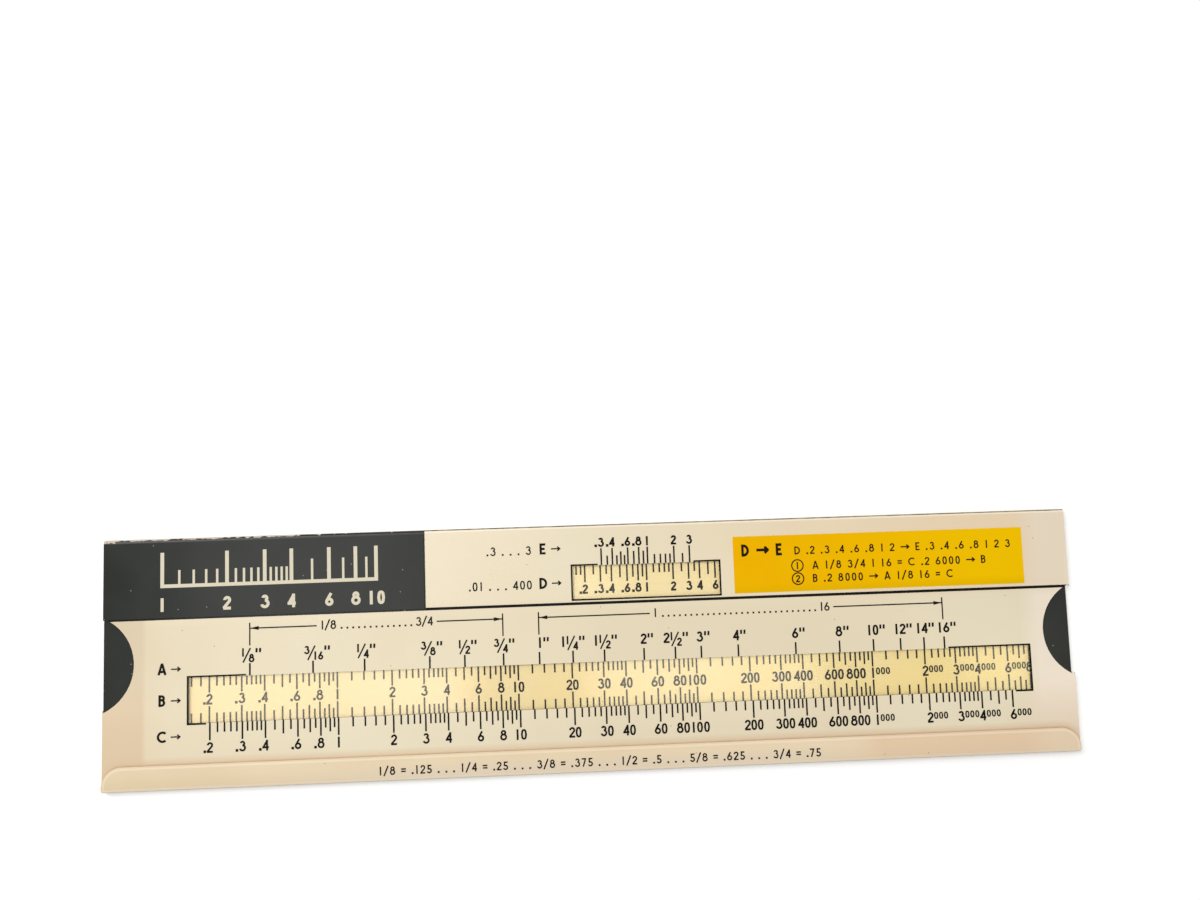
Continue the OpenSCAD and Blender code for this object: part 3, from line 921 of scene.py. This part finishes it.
# Heights and widths of its marks
NUMBERED_MARK = 8.2
WHOLE_MARK = 5.4
PART_MARK = 3.6
BOLD_MARK_W = 0.95
FINE_MARK_W = 0.6
HEADER_BAR_H = 0.9
HEADER_FIGURE_Y = 13.2
HEADER_FIGURE_H = 3.5
HEADER_PEN = 0.22


def header_scale():
    """Bold ivory scale in the header block: from 1 to 10, with fifths up to 4."""
    shape = bmesh.new()
    for tenths in (*range(10, 40, 2), *range(40, 101, 10)):
        numbered = tenths / 10 in HEADER_NUMBERED
        tall = NUMBERED_MARK if numbered else PART_MARK if tenths % 10 else WHOLE_MARK
        x = HEADER_ONE + HEADER_DECADE * math.log10(tenths / 10)
        write(shape, "1", x, HEADER_MARK_Y, INK_Z, tall, (BOLD_MARK_W if numbered else FINE_MARK_W) / tall)
    middle, bar = HEADER_ONE + HEADER_DECADE / 2, (HEADER_DECADE + BOLD_MARK_W) / HEADER_BAR_H
    write(shape, "1", middle, HEADER_MARK_Y - HEADER_BAR_H, INK_Z, HEADER_BAR_H, bar)
    for mark in HEADER_NUMBERED:
        x = HEADER_ONE + HEADER_DECADE * math.log10(mark)
        write(shape, str(mark), x, HEADER_FIGURE_Y, INK_Z, HEADER_FIGURE_H, HEADER_PEN, LEGEND_SPACING)
    finish_piece(shape, "header_scale", "sleeve", IVORY_PRINT)


# Lines of the label: where each starts and stands, with the middle of a ring for a numbered one

LABEL_TITLE = "D > E"
LABEL_TITLE_X = 39.2
LABEL_TITLE_Y = 22.2
LABEL_TITLE_H = 3.2
LABEL_TITLE_WIDTH = 0.9
LABEL_FIRST = "D .2 .3 .4 .6 .8 1 2 > E .3 .4 .6 .8 1 2 3"
LABEL_FIRST_X = 53.4
LABEL_FIRST_Y = 22.3
LABEL_ROWS = {"1": (19.35, "A 1/8 3/4 1 16 = C .2 6000 > B"), "2": (15.9, "B .2 8000 > A 1/8 16 = C")}
LABEL_ROW_X = 58
LABEL_ROW_DROP = 1.05
LABEL_STYLE = {"size": 2.1, "pen": 0.155, "spacing": 0.26, "anchor": 0}
RING_X = 54
RING_RADIUS = 1.54
RING_PEN = 0.3
RING_FIGURE_H = 1.9
RING_FIGURE_PEN = 0.17


def label_figures():
    """Ranges of the scales on the yellow label, and which scale is set against which."""
    shape = bmesh.new()
    title = LABEL_TITLE, LABEL_TITLE_X, LABEL_TITLE_Y, INK_Z, LABEL_TITLE_H
    write(shape, *title, HEADER_PEN, LEGEND_SPACING, LABEL_TITLE_WIDTH, anchor=0)
    write(shape, LABEL_FIRST, LABEL_FIRST_X, LABEL_FIRST_Y, INK_Z, **LABEL_STYLE)
    for number, (y, text) in LABEL_ROWS.items():
        add_stroke(shape, RING_PEN, (RING_X, y + RING_RADIUS, 180, [(RING_RADIUS, 360)]), INK_Z, INK_T)
        write(shape, number, RING_X, y - RING_FIGURE_H / 2, INK_Z, RING_FIGURE_H, RING_FIGURE_PEN)
        write(shape, text, LABEL_ROW_X, y - LABEL_ROW_DROP, INK_Z, **LABEL_STYLE)
    finish_piece(shape, "label_figures", "sleeve", LABEL_INK)


print_letters()
bracket_legends()
flap_figures()
header_scale()
label_figures()


# Finishes of the CAD nodes that keep their shape

FINISHES = {
    PANE: ("main_window_pane", "upper_window_pane"),
    CHARCOAL: ("header_print", "slide_end_print"),
    YELLOW: ("label_print",),
    CEMENT: ("flap_cement",),
    BLACK: (
        "divider_print",
        "window_outline_print",
        "bracket_print",
        "size_scale_print",
        "fixed_scale_print",
        "gravity_scale_print",
        "slide_flow_print",
        "slide_pressure_print",
    ),
}
for material, names in FINISHES.items():
    for name in names:
        nodes[name].data.materials.clear()
        nodes[name].data.materials.append(material)


# Room and floor

scene = bpy.context.scene
scene.view_settings.view_transform = "Standard"
# Radiance of the room where it lights the object, and as glossy surfaces mirror it
ROOM_LIGHT = 0.6
ROOM_SHEEN = 0.3


def sight(tree):
    """Share that is 1 on rays that show a surface, direct, mirrored or through glass, and 0 on others."""
    rays = add(tree, "LightPath").outputs
    seen = rays["Is Camera Ray"]
    for kind in ("Is Glossy Ray", "Is Transmission Ray"):
        seen = add(tree, "Math", {0: seen, 1: rays[kind]}, operation="MAXIMUM").outputs[0]
    return seen


def studio():
    """World that lights the object softly, looks white to the camera and dim in reflections."""
    world = bpy.data.worlds.new("studio")
    world.use_nodes = True
    tree = world.node_tree
    tree.nodes.clear()
    lit = add(tree, "MapRange", {"Value": sight(tree), "To Min": ROOM_LIGHT, "To Max": 1.0})
    glossy = add(tree, "LightPath").outputs["Is Glossy Ray"]
    dimmed = add(tree, "MapRange", {"Value": glossy, "To Min": 1.0, "To Max": ROOM_SHEEN})
    strength = share(tree, lit.outputs["Result"], dimmed.outputs["Result"])
    sky = add(tree, "Background", {"Color": WHITE, "Strength": strength})
    add(tree, "OutputWorld", {"Surface": sky.outputs["Background"]})
    return world


scene.world = studio()

FLOOR_HALF = 1500
# How far the floor lies under the sleeve, so that their faces don't coincide
FLOOR_DROP = 0.05
# Glow of the card under the object, where it starts to rise with distance, and where it is white
FLOOR_GLOW = 0.07
FLOOR_NEAR = 300
FLOOR_FAR = 1000


def white_card():
    """Matt white card that keeps shadows and glows a little to the eye, more so far away."""
    material, tree, place = start_material("white_card")
    card = add(tree, "BsdfDiffuse", {"Color": WHITE}).outputs[0]
    reach = add(tree, "VectorMath", {0: place}, operation="LENGTH").outputs["Value"]
    span = {"From Min": FLOOR_NEAR * MM, "From Max": FLOOR_FAR * MM, "To Min": FLOOR_GLOW, "To Max": 1.0}
    rise = add(tree, "MapRange", {"Value": reach, **span}).outputs["Result"]
    glow = add(tree, "Emission", {"Color": WHITE, "Strength": share(tree, rise, sight(tree))}).outputs[0]
    both = add(tree, "AddShader", {0: card, 1: glow}).outputs[0]
    add(tree, "OutputMaterial", {"Surface": both})
    return material


floor_shape = bmesh.new()
bmesh.ops.create_grid(floor_shape, x_segments=1, y_segments=1, size=FLOOR_HALF * MM)
bmesh.ops.translate(floor_shape, vec=(0, 0, -FLOOR_DROP * MM), verts=floor_shape.verts)
floor_mesh = bpy.data.meshes.new("floor")
floor_shape.to_mesh(floor_mesh)
floor_shape.free()
floor = bpy.data.objects.new("floor", floor_mesh)
scene.collection.objects.link(floor)
floor_mesh.materials.append(white_card())


# Lamps: a soft key from the upper left, and overhead panels that the windows and the header mirror

PANEL_Z = 600
WARM = "#fff8e0"


def lamp(name, place, aim, width, height, watts):
    """Area lamp at a place, turned to its aim."""
    light = bpy.data.lights.new(name, "AREA")
    light.shape = "RECTANGLE"
    light.size = width * MM
    light.size_y = height * MM
    light.energy = watts
    made = bpy.data.objects.new(name, light)
    made.location = Vector(place) * MM
    made.rotation_euler = (Vector(aim) - Vector(place)).to_track_quat("-Z", "Y").to_euler()
    scene.collection.objects.link(made)
    return made


def panel(name, x0, x1, y0, y1, radiance, colour):
    """Soft panel that faces straight down, as bright to look at as its radiance."""
    area = (x1 - x0) * (y1 - y0) * MM * MM
    middle = ((x0 + x1) / 2, (y0 + y1) / 2)
    made = lamp(name, (*middle, PANEL_Z), (*middle, 0), x1 - x0, y1 - y0, radiance * math.pi * area)
    made.data.color = linear(colour)[:3]
    made.visible_camera = False


lamp("key", place=(-650, 700, 1150), aim=(0, 0, 0), width=800, height=800, watts=9.6)
panel("left_panel", -345, -91, -130, -60, 2.7, "#fffbec")
panel("header_panel", -335, -110, -50, 110, 1.8, "#ffffff")
panel("right_panel", 9, 204, -125, -55, 2.5, "#fffdf8")
panel("end_panel", 335, 410, -125, -55, 2.2, WARM)
panel("upper_panel", -10, 38, -30, 10, 1.4, WARM)


# Camera, fitted to the sleeve's four corners in the photograph, which is 1200 pixels wide

PHOTO_W = 1200
FOCAL_PX = 997.9
SENSOR_W = 36
CAMERA_PLACE = Vector((-8.156, 28.749, 266.47))
CAMERA_LOOK = Vector((0.040416, 0.086495, -0.995432))
CAMERA_UP = Vector((0.030271, 0.995683, 0.087746))
CLIP_START = 10
camera_data = bpy.data.cameras.new("camera")
camera_data.sensor_width = SENSOR_W
camera_data.lens = FOCAL_PX / PHOTO_W * SENSOR_W
camera_data.clip_start = CLIP_START * MM
camera = bpy.data.objects.new("camera", camera_data)
across = CAMERA_LOOK.cross(CAMERA_UP).normalized()
up = across.cross(CAMERA_LOOK).normalized()
camera.rotation_euler = Matrix((across, up, -CAMERA_LOOK.normalized())).transposed().to_euler()
camera.location = CAMERA_PLACE * MM
scene.collection.objects.link(camera)
scene.camera = camera
